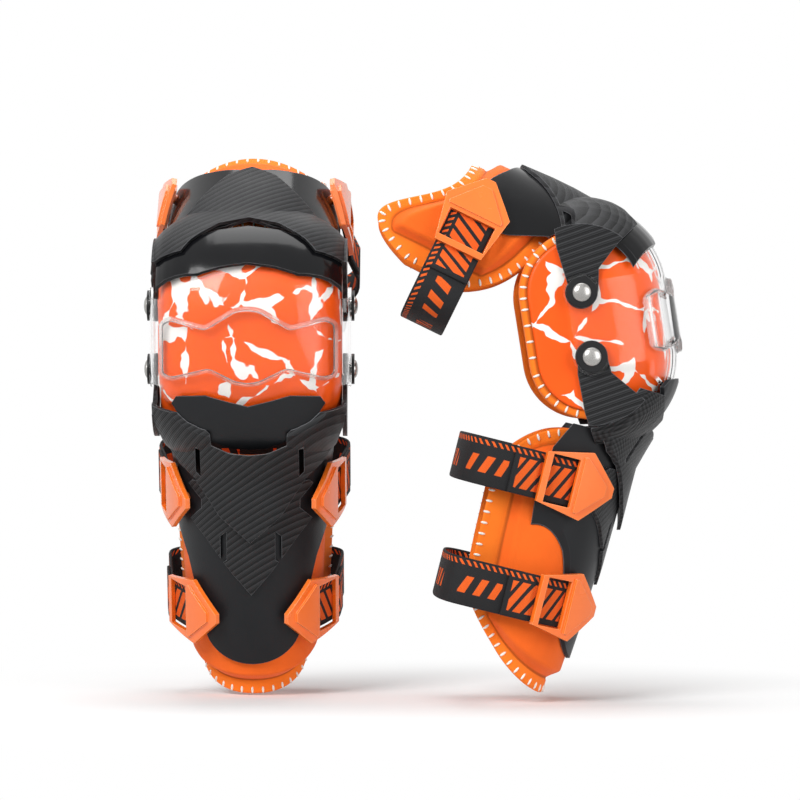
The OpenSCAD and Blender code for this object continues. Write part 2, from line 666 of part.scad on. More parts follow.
for (g = [0, 1]) {
    if (wanted(g, "shin_pad")) place(g) shin_pad();
    if (wanted(g, "shin_shell")) place(g) shin_shell();
    if (wanted(g, "shin_plate")) place(g) shin_plate();
    if (wanted(g, "shin_frame")) place(g) shin_frame();
    if (wanted(g, "chin_plate")) place(g) chin_plate();
    if (wanted(g, "upper_shin_clip_inner")) place(g) mirror([1, 0, 0]) shin_clip(upper_shin_station);
    if (wanted(g, "upper_shin_clip_outer")) place(g) shin_clip(upper_shin_station);
    if (wanted(g, "lower_shin_clip_inner")) place(g) mirror([1, 0, 0]) shin_clip(lower_shin_station);
    if (wanted(g, "lower_shin_clip_outer")) place(g) shin_clip(lower_shin_station);
    if (wanted(g, "upper_shin_strap")) place(g) shin_strap(upper_shin_station, 78, 72);
    if (wanted(g, "lower_shin_strap")) place(g) shin_strap(lower_shin_station, 72, 62);
    if (wanted(g, "knee_pad")) on_knee(g) knee_pad();
    if (wanted(g, "knee_liner")) on_knee(g) knee_liner();
    if (wanted(g, "knee_cup")) on_knee(g) knee_cup();
    if (wanted(g, "lower_rivets")) on_knee(g) rivets();
    if (wanted(g, "upper_rivets")) on_knee(g) translate([0, 0, pivot_spacing]) rivets();
    if (wanted(g, "lower_washers")) on_knee(g) washers();
    if (wanted(g, "upper_washers")) on_knee(g) translate([0, 0, pivot_spacing]) washers();
    if (wanted(g, "thigh_pad")) on_thigh(g) thigh_pad();
    if (wanted(g, "thigh_shell")) on_thigh(g) thigh_shell();
    if (wanted(g, "thigh_frame")) on_thigh(g) thigh_frame();
    if (wanted(g, "knee_visor")) on_thigh(g) knee_visor();
    if (wanted(g, "thigh_clip_inner")) on_thigh(g) mirror([1, 0, 0]) thigh_clip();
    if (wanted(g, "thigh_clip_outer")) on_thigh(g) thigh_clip();
    if (wanted(g, "thigh_strap")) on_thigh(g) thigh_strap();
}
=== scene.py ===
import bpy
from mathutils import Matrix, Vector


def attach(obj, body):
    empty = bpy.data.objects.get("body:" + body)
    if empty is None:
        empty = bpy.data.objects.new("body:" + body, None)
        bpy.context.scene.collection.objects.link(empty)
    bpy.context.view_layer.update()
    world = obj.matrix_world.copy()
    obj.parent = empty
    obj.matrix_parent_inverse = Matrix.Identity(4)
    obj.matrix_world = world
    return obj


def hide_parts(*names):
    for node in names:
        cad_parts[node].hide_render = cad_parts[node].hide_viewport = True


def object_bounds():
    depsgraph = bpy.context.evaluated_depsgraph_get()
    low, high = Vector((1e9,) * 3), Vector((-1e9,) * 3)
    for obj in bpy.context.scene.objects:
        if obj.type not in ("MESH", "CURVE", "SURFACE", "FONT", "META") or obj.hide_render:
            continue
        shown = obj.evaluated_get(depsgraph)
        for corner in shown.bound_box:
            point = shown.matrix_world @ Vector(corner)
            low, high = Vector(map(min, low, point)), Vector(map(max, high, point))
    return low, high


bl_info = {
    "name": "Knee Guards",
    "version": (1, 0, 0),
    "blender": (4, 5, 0),
    "location": "View3D > Sidebar > Guards",
    "description": "Sewn pads, straps, print and finishes for a pair of hinged knee guards",
    "category": "Object",
}

from functools import wraps
from math import copysign, cos, exp, pi, radians, sin, sqrt

import bmesh
import bpy
from bpy.props import FloatProperty, FloatVectorProperty, PointerProperty
from mathutils import Matrix, Vector, noise
from mathutils.bvhtree import BVHTree

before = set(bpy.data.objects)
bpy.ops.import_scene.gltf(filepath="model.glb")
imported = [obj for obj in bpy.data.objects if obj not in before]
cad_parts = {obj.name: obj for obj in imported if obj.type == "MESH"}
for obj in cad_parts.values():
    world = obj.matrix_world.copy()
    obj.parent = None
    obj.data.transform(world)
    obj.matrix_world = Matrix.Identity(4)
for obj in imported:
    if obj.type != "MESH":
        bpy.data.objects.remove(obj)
CAD_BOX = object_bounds()

MM = 0.001
GUARDS = ("left", "right")
# Place of the right guard, and each guard's bend, as in the part's source
PAIR_SPACING = 0.275
RIGHT_LIFT = 0.009
PITCH = (4.0, 0.0)
KNEE_TILT = (-1.0, 9.0)
THIGH_BEND = 49.0
THIGH_LEAN = 6.0
PIVOT_SPACING = 0.052
SHIN_LEAN = 14.0
SHIN_AXIS_BACK = 0.012
# In mm from here on, but for lifts and lamps: the shells' wall, the room under them, the pads' depth
SHELL_WALL, GAP, PAD_DEPTH = 3.0, 0.4, 13.0

SHIN_RADII = ((-268, 55), (-215, 59.7), (-160, 62.6), (-95, 64.3), (-75, 66.5), (-52, 69))
THIGH_RADII = ((10, 73), (40, 74.7), (60, 74.7), (95, 73), (130, 71))
# Strap stations: height along the limb, angle of the clip, half width and depth of the loop
STRAPS = {
    "upper_shin_strap": (-99, 68, 78, 72),
    "lower_shin_strap": (-196, 50, 72, 62),
    "thigh_strap": (104, 76, 86, 76),
}
CLIP_LENGTH, CLIP_WIDTH, CLIP_BAR, CLIP_SLOT, CLIP_CURVE = 64, 56, 5, 23, 140
# Strap past its clip: overrun, where its loop leaves the wings, how square the loop is; steps along both
CLIP_OVERRUN, LOOP_START, LOOP_POWER, CLIP_STEPS, LOOP_STEPS = 3, 42, 0.7, 6, 14
# Strap's returned end: where it starts and stops along the strap, where its marks end in a hem, steps, lift
RETURNED_END, HEM_AT, RETURN_STEPS, RETURN_LIFT = (30.5, 52.0), 51.0, 8, 0.15
# Right half of the shin shell's lower edge as seen from the front, and how far up the rounding reaches
SHELL_TIP, TIP_REACH = ((40, -212), (38, -222), (22, -241), (0, -246)), 16.0
# Saddles over the knee: front radius, half width, wall, cheek radius
KNEE_PAD = (64.9, 72.0, 6.0, 50.0)
KNEE_LINER = (67.5, 74.6, 2.2, 43.0)
SADDLE_SWEEP, SADDLE_ROOT, SADDLE_SPREAD, DRUM_POWER = 40.0, 12.0, 0.8, 2.8
SWEEP_STEPS, PIVOT_STEPS, CHEEK_STEPS, FRONT_STEPS = 18, 8, 14, 64
# Shares of the front's width, those where the cheeks' wider sweep ends, and where a saddle's rim fades
FRONT_SHARES, SPREAD_ENDS, RIM_FADE = 14, (2, 4), (5, 9)
# Round edges that join the two skins of a sheet
PAD_ROLL, KNEE_PAD_ROLL, LINER_ROLL = 2.2, 3.0, 1.1
# Seam beside a pad's rim, and the size of the creases round and along the limb
SEAM_DEPTH, SEAM_SPREAD = 1.1, 1.3
CREASE_ROUND, CREASE_ALONG = 26, 15
# Room between a stitch and the rim's edge
STITCH_ROOM = 0.3
# Right half of the cup's raised panel as seen from the front, from its top to its bottom
PANEL_TOP = ((0, 54), (10, 52.5), (34, 38), (62, 45), (70, 41))
PANEL_EDGE = PANEL_TOP + ((70, 0), (62, -3), (31, 5), (10, -5.5), (0, -7))
# Bevel round the panel: step along it and its three lines in or out of the edge, then their lifts in metres
PANEL_STEP, BEVEL_LIP, BEVEL_TOP, BEVEL_FOOT = 1.6, 1.7, 0.5, 2.2
BEVEL_LIFT, BEVEL_CROWN, BEVEL_ROOT = 0.00012, 0.00035, 0.0008
# Rays onto the cup start here, in metres
CUP_FRONT = -0.2

# Colours of the highlights painted on corners, and the radius that eases corners
DARK_EDGE_HIGHLIGHT, CLIP_EDGE_HIGHLIGHT = (0.13, 0.132, 0.14, 1), (1.0, 0.33, 0.09, 1)
CORNER_EASE = 0.0009
# Moulded finishes: roughness, scale and depth of the grain, coat, shine
GLOSS_LOOK, MATTE_LOOK = (0.16, 260.0, 0.00005, 0.08, 0.2), (0.40, 1100.0, 0.0002, 0.0, 0.2)
CLIP_LOOK, WASHER_LOOK = (0.24, 300.0, 0.00005, 0.4, 0.5), (0.34, 900.0, 0.0001, 0.0, 0.3)
# Middle part of a noise texture's values
NOISE_LOW, NOISE_HIGH = 0.3, 0.7
FULL_TURN = 2 * pi
# Lamps: place, size, power
LAMPS = {
    "key": ((-0.7, -1.3, 0.9), 0.8, 28.0),
    "fill": ((1.3, -1.2, 0.3), 1.1, 12.0),
    "top": ((0.12, 0.2, 1.2), 0.9, 10.0),
}
FLOOR_HALF, FLOOR_DROP, SENSOR_WIDTH = 4, 0.001, 36.0


# Places in the pair


def turned(degrees, axis="X"):
    return Matrix.Rotation(radians(degrees), 4, axis)


def guard_place(g):
    """Matrix from a guard's own frame to the pair."""
    spot = Matrix.Translation((g * PAIR_SPACING, 0, g * RIGHT_LIFT))
    return spot @ turned(90 * g, "Z") @ turned(PITCH[g])


def knee_place(g):
    """Matrix from the knee's upright frame on its lower pivot to the pair."""
    return guard_place(g) @ turned(-KNEE_TILT[g])


def thigh_axis_place(g):
    """Matrix from the thigh's centre line, which starts at the upper pivot, to the pair."""
    pivot = Matrix.Translation((0, 0, PIVOT_SPACING))
    return knee_place(g) @ pivot @ turned(-THIGH_BEND) @ turned(-THIGH_LEAN)


def shin_place(g):
    """Matrix from the shin's centre line to the pair."""
    return guard_place(g) @ Matrix.Translation((0, SHIN_AXIS_BACK, 0)) @ turned(SHIN_LEAN)


def limb_of(piece, g):
    """Radii, matrix and body of the limb that a pad or a strap is on."""
    if piece.startswith("thigh"):
        return THIGH_RADII, thigh_axis_place(g), f"{GUARDS[g]}_thigh"
    return SHIN_RADII, shin_place(g), "shins"


def looked_up(table, z):
    """Value at z in a table of steps, straight between them."""
    if z <= table[0][0]:
        return table[0][1]
    for (z0, v0), (z1, v1) in zip(table, table[1:]):
        if z <= z1:
            return v0 + (v1 - v0) * (z - z0) / (z1 - z0)
    return table[-1][1]


def ease(x, a, b):
    """Smooth step from 0 at a to 1 at b."""
    u = min(1.0, max(0.0, (x - a) / (b - a)))
    return u * u * (3 - 2 * u)


def signed_power(x, power):
    return copysign(abs(x) ** power, x)


# Sizes and colours that a user would change


def size(name, description, default):
    return FloatProperty(name=name, description=description, default=default, subtype="DISTANCE")


def tint(name, description, default):
    return FloatVectorProperty(name=name, description=description, default=default, subtype="COLOR")


class GuardPadSizes(bpy.types.PropertyGroup):
    rim_width: size("Rim Width", "Width of the flat sewn rim", 0.013)
    rim_thickness: size("Rim", "Thickness of the rim", 0.004)
    boss_thickness: size("Boss", "Thickness of the foam", 0.013)
    crease_depth: size("Creases", "Depth of the fabric's creases", 0.0009)


class GuardStitchSizes(bpy.types.PropertyGroup):
    pitch: size("Pitch", "Distance between stitches", 0.0088)
    length: size("Length", "Length of a stitch", 0.0066)
    width: size("Width", "Width of the thread", 0.0022)


class GuardStrapSizes(bpy.types.PropertyGroup):
    width: size("Width", "Width of the webbing", 0.038)
    thickness: size("Thickness", "Thickness of the webbing", 0.0024)


class GuardColours(bpy.types.PropertyGroup):
    pad: tint("Pad", "Foam pad's fabric", (0.95, 0.152, 0.014))
    rim: tint("Rim", "Sewn rim", (1.0, 0.215, 0.016))
    clip: tint("Clip", "Strap clips", (1.0, 0.172, 0.014))
    liner: tint("Liner", "Knee liner", (0.90, 0.102, 0.008))
    print_mark: tint("Print", "Liner's print", (0.86, 0.83, 0.80))
    thread: tint("Thread", "Rim stitches", (0.86, 0.84, 0.78))
    webbing: tint("Webbing", "Strap ground", (0.010, 0.010, 0.011))
    mark: tint("Mark", "Strap marks", (0.90, 0.13, 0.012))
    gloss: tint("Gloss", "Glossy shells", (0.004, 0.0042, 0.005))
    matte: tint("Matte", "Matte shells", (0.0115, 0.0122, 0.0138))


class GuardStageSizes(bpy.types.PropertyGroup):
    view_width: size("View Width", "Width seen at the guards", 0.656)
    distance: size("Distance", "Camera distance", 3.0)
    centre_x: size("Centre X", "Middle of the picture", 0.122)
    centre_z: size("Centre Z", "Middle of the picture", -0.0255)


SETTINGS = {
    "guard_pads": GuardPadSizes,
    "guard_stitches": GuardStitchSizes,
    "guard_straps": GuardStrapSizes,
    "guard_colours": GuardColours,
    "guard_stage": GuardStageSizes,
}


# Node building

SOCKETS = ("Float", "Vector", "Geometry", "Material")
FLOAT, VECTOR, GEOMETRY, MATERIAL = (f"NodeSocket{kind}" for kind in SOCKETS)


def wire(tree, node, inputs):
    """Links each named input of a node to a socket, or sets its own value."""
    for key, value in inputs.items():
        if isinstance(value, bpy.types.NodeSocket):
            tree.links.new(value, node.inputs[key])
        elif value is not None:
            node.inputs[key].default_value = value


def add(tree, kind, inputs=None, **settings):
    """New node with its settings made and its inputs wired."""
    made = tree.nodes.new(kind)
    for key, value in settings.items():
        setattr(made, key, value)
    wire(tree, made, inputs or {})
    return made


def once(name, kind, inputs, outputs):
    """Decorator: builds a node group with named sockets on first use and finds it again after that."""

    def wrap(build):
        @wraps(build)
        def found():
            if name not in bpy.data.node_groups:
                group = bpy.data.node_groups.new(name, kind)
                for way, sockets in (("INPUT", inputs), ("OUTPUT", outputs)):
                    for label, socket_type, *default in sockets:
                        socket = group.interface.new_socket(label, in_out=way, socket_type=socket_type)
                        if default:
                            socket.default_value = default[0]
                build(group, add(group, "NodeGroupInput").outputs, add(group, "NodeGroupOutput"))
            return bpy.data.node_groups[name]

        return found

    return wrap


def calc(tree, operation, a, b=None, c=None, clamp=False):
    inputs = dict(enumerate((a, b, c)))
    return add(tree, "ShaderNodeMath", inputs, operation=operation, use_clamp=clamp).outputs[0]


def product(tree, first, *others):
    for other in others:
        first = calc(tree, "MULTIPLY", first, other)
    return first


def blend(tree, factor, a, b):
    return add(tree, "ShaderNodeMix", {0: factor, 6: a, 7: b}, data_type="RGBA").outputs[2]


def span(tree, value, low, high, to_low, to_high, smooth=False):
    inputs = dict(enumerate((value, low, high, to_low, to_high)))
    kind = "SMOOTHSTEP" if smooth else "LINEAR"
    return add(tree, "ShaderNodeMapRange", inputs, interpolation_type=kind).outputs[0]


def uneven(tree, grain, low, high):
    """Value that wanders between two others with a noise."""
    return span(tree, grain, NOISE_LOW, NOISE_HIGH, low, high)


def rgba(colour, gain=1.0):
    return tuple(min(1.0, c * gain) for c in colour) + (1.0,)


@once(
    "Surface Grain",
    "ShaderNodeTree",
    (("Vector", VECTOR), ("Scale", FLOAT, 900.0)),
    (("Fine", FLOAT), ("Broad", FLOAT)),
)
def grain_group(group, start, end):
    """Fine and broad unevenness that moulded and woven surfaces share."""
    for label, scale, detail in (("Fine", start["Scale"], 3.0), ("Broad", 34.0, 4.0)):
        inputs = {"Vector": start["Vector"], "Scale": scale, "Detail": detail}
        wire(group, end, {label: add(group, "ShaderNodeTexNoise", inputs).outputs["Fac"]})


@once(
    "Twill Ribs",
    "ShaderNodeTree",
    (("Vector", VECTOR), ("Band", FLOAT, 0.0052), ("Thread", FLOAT, 0.0013)),
    (("Band Height", FLOAT), ("Thread Height", FLOAT)),
)
def twill_group(group, start, end):
    """Raised twill: slanted bands of fine threads that rise to one side."""
    axes = add(group, "ShaderNodeSeparateXYZ", {0: start["Vector"]}).outputs
    leaned = calc(group, "MULTIPLY_ADD", axes["Y"], 0.35, axes["Z"])
    rise = calc(group, "MULTIPLY_ADD", axes["X"], -0.58, leaned)
    slope = calc(group, "MULTIPLY_ADD", leaned, 0.75, axes["X"])
    band = calc(group, "FRACT", calc(group, "DIVIDE", rise, start["Band"]))
    wave = calc(group, "SINE", product(group, calc(group, "DIVIDE", slope, start["Thread"]), FULL_TURN))
    wire(group, end, {"Band Height": band, "Thread Height": calc(group, "MULTIPLY_ADD", wave, 0.5, 0.5)})


@once("Painted Edge Highlights", "ShaderNodeTree", (("Reach", FLOAT, 0.0011),), (("Mask", FLOAT),))
def edge_highlight_group(group, start, end):
    """Mask of the narrow rounded corners, where a highlight is painted."""
    corner = add(group, "ShaderNodeBevel", {"Radius": start["Reach"]}, samples=8).outputs["Normal"]
    face = add(group, "ShaderNodeNewGeometry").outputs["Normal"]
    facing = add(group, "ShaderNodeVectorMath", {0: corner, 1: face}, operation="DOT_PRODUCT")
    wire(group, end, {"Mask": span(group, facing.outputs["Value"], 0.98, 0.80, 0.0, 1.0)})


@once(
    "Round Shading",
    "GeometryNodeTree",
    (("Geometry", GEOMETRY), ("Corner Angle", FLOAT, radians(24))),
    (("Geometry", GEOMETRY),),
)
def round_shading_tree(tree, start, end):
    """Geometry Nodes: shades a moulded part's curves round and leaves its corners crisp."""
    joined = add(tree, "GeometryNodeMergeByDistance", {"Geometry": start["Geometry"], "Distance": 1e-6})
    smooth = add(tree, "GeometryNodeSetShadeSmooth", {"Geometry": joined.outputs["Geometry"]}, domain="FACE")
    angle = add(tree, "GeometryNodeInputMeshEdgeAngle").outputs["Unsigned Angle"]
    inputs = {"A": angle, "B": start["Corner Angle"]}
    sharp = add(tree, "FunctionNodeCompare", inputs, data_type="FLOAT", operation="GREATER_THAN")
    inputs = {
        "Geometry": smooth.outputs["Geometry"],
        "Selection": sharp.outputs["Result"],
        "Shade Smooth": False,
    }
    crisp = add(tree, "GeometryNodeSetShadeSmooth", inputs, domain="EDGE")
    wire(tree, end, {"Geometry": crisp.outputs["Geometry"]})


@once(
    "Rim Stitches",
    "GeometryNodeTree",
    (("Geometry", GEOMETRY), ("Stitch Length", FLOAT), ("Thread Width", FLOAT), ("Thread", MATERIAL)),
    (("Geometry", GEOMETRY),),
)
def stitch_tree(tree, start, end):
    """Geometry Nodes: one rounded stitch on each point, turned by its stored directions."""
    places = add(tree, "GeometryNodeMeshToPoints", {"Mesh": start["Geometry"]})
    ball = add(tree, "GeometryNodeMeshUVSphere", {"Segments": 8, "Rings": 5, "Radius": 0.5})
    lengths = {"X": start["Stitch Length"], "Y": start["Thread Width"], "Z": start["Thread Width"]}
    scale = add(tree, "ShaderNodeCombineXYZ", lengths).outputs[0]
    stretched = add(tree, "GeometryNodeTransform", {"Geometry": ball.outputs["Mesh"], "Scale": scale})
    ways = {}
    for socket, label in (("Primary Axis", "up_from_rim"), ("Secondary Axis", "across_rim")):
        stored = add(tree, "GeometryNodeInputNamedAttribute", {"Name": label}, data_type="FLOAT_VECTOR")
        ways[socket] = stored.outputs["Attribute"]
    turn = add(tree, "FunctionNodeAxesToRotation", ways, primary_axis="Z", secondary_axis="X")
    inputs = {
        "Points": places.outputs["Points"],
        "Instance": stretched.outputs["Geometry"],
        "Rotation": turn.outputs["Rotation"],
    }
    geometry = add(tree, "GeometryNodeInstanceOnPoints", inputs).outputs["Instances"]
    thread = {"Material": start["Thread"]}
    for step, more in (("RealizeInstances", {}), ("SetShadeSmooth", {}), ("SetMaterial", thread)):
        geometry = add(tree, f"GeometryNode{step}", {"Geometry": geometry} | more).outputs["Geometry"]
    wire(tree, end, {"Geometry": geometry})


# Finishes


def finish(build):
    """Decorator: makes a material by its name, and has its tree and shader built."""

    @wraps(build)
    def finished(name, *values, **named):
        made = bpy.data.materials.new(name)
        made.use_nodes = True
        tree = made.node_tree
        build(tree, tree.nodes["Principled BSDF"], *values, **named)
        return made

    return finished


def paint(tree, shader, colour, rough, shine=None, more=None):
    """Wires a finish's colour, roughness and shine, and what else it has."""
    wire(tree, shader, {"Base Color": colour, "Roughness": rough, "Specular IOR Level": shine} | (more or {}))


def object_coordinates(tree):
    return add(tree, "ShaderNodeTexCoord").outputs["Object"]


def own_coordinates(tree, g):
    """Coordinates of a guard's own frame."""
    inputs = {
        "Vector": object_coordinates(tree),
        "Location": (g * PAIR_SPACING, 0, g * RIGHT_LIFT),
        "Rotation": (radians(PITCH[g]), 0, radians(90 * g)),
    }
    return add(tree, "ShaderNodeMapping", inputs, vector_type="TEXTURE").outputs[0]


def placed_grain(tree, scale, vector=None):
    """Outputs of the grain group, on object coordinates unless others are given."""
    vector = object_coordinates(tree) if vector is None else vector
    return add(tree, "ShaderNodeGroup", {"Vector": vector, "Scale": scale}, node_tree=grain_group()).outputs


def bump(tree, shader, height, distance, strength=1.0, eased=0.0):
    """Relief of a finish, on edges that are eased by a small radius."""
    inputs = {"Height": height, "Distance": distance, "Strength": strength}
    if eased:
        inputs["Normal"] = add(tree, "ShaderNodeBevel", {"Radius": eased}, samples=6).outputs["Normal"]
    wire(tree, shader, {"Normal": add(tree, "ShaderNodeBump", inputs).outputs["Normal"]})


def painted_edge_highlight(tree, ground, pale):
    """Ground colour with a highlight painted on the corners."""
    edges = add(tree, "ShaderNodeGroup", node_tree=edge_highlight_group())
    return blend(tree, edges.outputs["Mask"], ground, pale)


@finish
def moulded_finish(tree, shader, colour, rough, grain, depth, coat, shine, edge=None):
    """Moulded plastic: slight unevenness in colour and gloss, a fine grain, and a highlight painted on the
    corners where an edge colour is given.
    """
    fac = placed_grain(tree, grain)
    ground = blend(tree, fac["Broad"], rgba(colour, 0.86), rgba(colour, 1.14))
    # Painted highlight: the corners take the edge colour
    ground = painted_edge_highlight(tree, ground, edge) if edge else ground
    rough = uneven(tree, fac["Broad"], rough * 0.85, rough * 1.2)
    paint(tree, shader, ground, rough, shine, {"Coat Weight": coat, "Coat Roughness": 0.06})
    bump(tree, shader, fac["Fine"], depth, 0.5, CORNER_EASE)


@finish
def twill_finish(tree, shader, g):
    """Dark plastic with a raised twill, as on the frames, lighter towards each band's raised side as a
    painted sheen, and with a highlight painted on the corners.
    """
    vector = own_coordinates(tree, g)
    ribs = add(tree, "ShaderNodeGroup", {"Vector": vector}, node_tree=twill_group()).outputs
    band, thread = ribs["Band Height"], ribs["Thread Height"]
    fac = placed_grain(tree, 1200.0, vector)
    # Twill pattern, lighter towards each band's raised side: partly the pattern, partly painted sheen
    tone_and_sheen = calc(tree, "MULTIPLY_ADD", band, 0.65, product(tree, thread, 0.35))
    tone_and_sheen = calc(tree, "POWER", tone_and_sheen, 1.5)
    ground = blend(tree, tone_and_sheen, (0.0015, 0.0016, 0.0018, 1), (0.052, 0.053, 0.056, 1))
    # Corners lighter by a painted highlight
    paint(tree, shader, painted_edge_highlight(tree, ground, DARK_EDGE_HIGHLIGHT), uneven(tree, fac["Broad"], 0.34, 0.46), 0.16)
    bump(tree, shader, calc(tree, "MULTIPLY_ADD", thread, 0.35, band), 0.0006, 0.8, CORNER_EASE)


@finish
def clear_finish(tree, shader):
    """Clear moulded plastic."""
    rough = uneven(tree, placed_grain(tree, 300.0)["Broad"], 0.01, 0.04)
    paint(tree, shader, (0.99, 0.99, 0.99, 1), rough, more={"Transmission Weight": 1.0, "IOR": 1.25})


@finish
def bevel_highlight_finish(tree, shader):
    """Bevelled edge of the clear plastic, paler than its flat faces by a painted highlight."""
    broad = placed_grain(tree, 420.0)["Broad"]
    # The paler colour is a highlight painted on the bevel
    ground = blend(tree, broad, (0.90, 0.87, 0.86, 1), (0.99, 0.98, 0.97, 1))
    rough = uneven(tree, broad, 0.08, 0.20)
    paint(tree, shader, ground, rough, more={"Transmission Weight": 0.9, "IOR": 1.4})


@finish
def liner_finish(tree, shader, g, ground, mark):
    """Printed liner: broken pale veins on an orange ground."""
    vector = own_coordinates(tree, g)
    drift = add(tree, "ShaderNodeTexNoise", {"Vector": vector, "Scale": 22.0}).outputs["Color"]
    inputs = {0: drift, 1: (0.030, 0.030, 0.030), 2: vector}
    shove = add(tree, "ShaderNodeVectorMath", inputs, operation="MULTIPLY_ADD").outputs[0]
    cells = add(tree, "ShaderNodeTexVoronoi", {"Vector": shove, "Scale": 25.0}, feature="DISTANCE_TO_EDGE")
    gate = add(tree, "ShaderNodeTexNoise", {"Vector": vector, "Scale": 46.0}).outputs["Fac"]
    width = span(tree, gate, 0.42, 0.66, 0.0, 0.11)
    inside = calc(tree, "SUBTRACT", width, cells.outputs["Distance"])
    mask = span(tree, inside, 0.0, 0.012, 0.0, 1.0, True)
    fac = placed_grain(tree, 700.0, vector)
    colour = blend(tree, fac["Broad"], rgba(ground, 0.9), rgba(ground, 1.08))
    colour = blend(tree, mask, colour, rgba(mark))
    paint(tree, shader, colour, uneven(tree, fac["Fine"], 0.30, 0.42), 0.2)


@finish
def fabric_finish(tree, shader, foam, rim):
    """Close knit over foam, a shade lighter on the sewn rim, with a dark seam between the two."""
    fac = placed_grain(tree, 1500.0)
    edge = add(tree, "ShaderNodeAttribute", attribute_name="rim").outputs["Fac"]
    ground = blend(tree, edge, rgba(foam), rgba(rim))
    shade = blend(tree, edge, rgba(foam, 0.82), rgba(rim, 0.86))
    knit = blend(tree, fac["Broad"], shade, ground)
    seam = product(tree, edge, calc(tree, "SUBTRACT", 1.0, edge), 2.2)
    knit = blend(tree, seam, knit, rgba(foam, 0.12))
    paint(tree, shader, knit, uneven(tree, fac["Fine"], 0.68, 0.86), 0.15, {"Sheen Weight": 0.1})
    bump(tree, shader, fac["Fine"], 0.0005, 0.6)


@finish
def thread_finish(tree, shader, colour):
    """Matt sewing thread."""
    fine = placed_grain(tree, 2200.0)["Fine"]
    base = blend(tree, fine, rgba(colour, 0.85), rgba(colour, 1.05))
    paint(tree, shader, base, 0.7)
    bump(tree, shader, fine, 0.0003, 0.6)


@finish
def steel_finish(tree, shader):
    """Rivets' worn steel."""
    fac = placed_grain(tree, 1600.0)
    ground = blend(tree, fac["Broad"], (0.30, 0.295, 0.28, 1), (0.44, 0.43, 0.415, 1))
    paint(tree, shader, ground, uneven(tree, fac["Fine"], 0.2, 0.34), more={"Metallic": 1.0})


@finish
def webbing_finish(tree, shader, ground, mark):
    """Woven elastic: a row of slanted ticks by one edge, broad bars by the clips, small ones beyond."""
    uv = add(tree, "ShaderNodeUVMap", uv_map="UVMap").outputs[0]
    axes = add(tree, "ShaderNodeSeparateXYZ", {0: uv}).outputs
    along, across = axes["X"], axes["Y"]

    def over(value, low):
        return calc(tree, "GREATER_THAN", value, low)

    def under(value, high):
        return calc(tree, "LESS_THAN", value, high)

    def repeat(value, pitch):
        return calc(tree, "FRACT", calc(tree, "DIVIDE", value, pitch))

    def between(low, high):
        return product(tree, over(across, low), under(across, high))

    def bars(slant, pitch, share):
        return under(repeat(calc(tree, "MULTIPLY_ADD", across, slant, along), pitch), share)

    ticks = product(tree, bars(-0.030, 0.0052, 0.42), between(0.85, 0.955))
    near = product(tree, between(0.13, 0.78), under(along, 0.047), bars(0.020, 0.0096, 0.66))
    runs = under(repeat(along, 0.055), 0.62)
    far = product(tree, bars(0.014, 0.0125, 0.48), between(0.27, 0.63), over(along, 0.054), runs)
    mask = calc(tree, "MAXIMUM", ticks, calc(tree, "MAXIMUM", near, far))
    warp = calc(tree, "SINE", product(tree, along, FULL_TURN / 0.0014))
    weft = calc(tree, "SINE", product(tree, across, FULL_TURN * 30))
    weave = calc(tree, "MULTIPLY_ADD", product(tree, warp, weft), 0.5, 0.5)
    dark = blend(tree, weave, rgba(ground, 0.6), rgba(ground, 1.5))
    bright = blend(tree, weave, rgba(mark, 0.7), rgba(mark))
    rough = span(tree, weave, 0.0, 1.0, 0.88, 0.7)
    paint(tree, shader, blend(tree, mask, dark, bright), rough, 0.3)
    bump(tree, shader, weave, 0.0004, 0.7)


def white_where_seen(tree):
    """Strength that is white to the camera and in reflections, and less to other light."""
    path = add(tree, "ShaderNodeLightPath").outputs
    seen = calc(tree, "ADD", path["Is Camera Ray"], path["Is Glossy Ray"])
    seen = calc(tree, "ADD", seen, path["Is Transmission Ray"], clamp=True)
    return calc(tree, "MULTIPLY_ADD", seen, 0.62, 0.38)


@finish
def floor_finish(tree, shader, centre_x):
    """Pale floor that takes the guards' shadow and fades to white further off."""
    paint(tree, shader, (0.86, 0.86, 0.86, 1), 0.9, 0.0)
    axes = add(tree, "ShaderNodeSeparateXYZ", {0: object_coordinates(tree)}).outputs
    aside = calc(tree, "SUBTRACT", axes["X"], centre_x)
    square = calc(tree, "MULTIPLY_ADD", aside, aside, calc(tree, "POWER", axes["Y"], 2.0))
    fade = span(tree, calc(tree, "SQRT", square), 0.16, 0.5, 0.0, 1.0, True)
    glow = add(tree, "ShaderNodeEmission", {"Strength": white_where_seen(tree)})
    join = add(tree, "ShaderNodeMixShader", {0: fade, 1: shader.outputs[0], 2: glow.outputs[0]})
    wire(tree, tree.nodes["Material Output"], {"Surface": join.outputs[0]})


# Mesh building


def linked(name, data):
    """New object in the scene for a mesh, a lamp or a camera."""
    made = bpy.data.objects.new(name, data)
    bpy.context.scene.collection.objects.link(made)
    return made


def plain_mesh(name, points, faces, material):
    made = bpy.data.meshes.new(name)
    made.from_pydata(points, [], faces)
    made.materials.append(material)
    return made


def outward(mesh):
    """Turns a closed mesh's faces outwards."""
    work = bmesh.new()
    work.from_mesh(mesh)
    bmesh.ops.recalc_face_normals(work, faces=work.faces)
    work.to_mesh(mesh)
    work.free()
    return mesh


def tube_faces(rings, count, closed=False):
    """Faces between rings of count points each, and from the last ring to the first where closed."""
    faces = []
    for i in range(rings if closed else rings - 1):
        here, there = i * count, (i + 1) % rings * count
        for k in range(count):
            after = (k + 1) % count
            faces.append((here + k, here + after, there + after, there + k))
    return faces


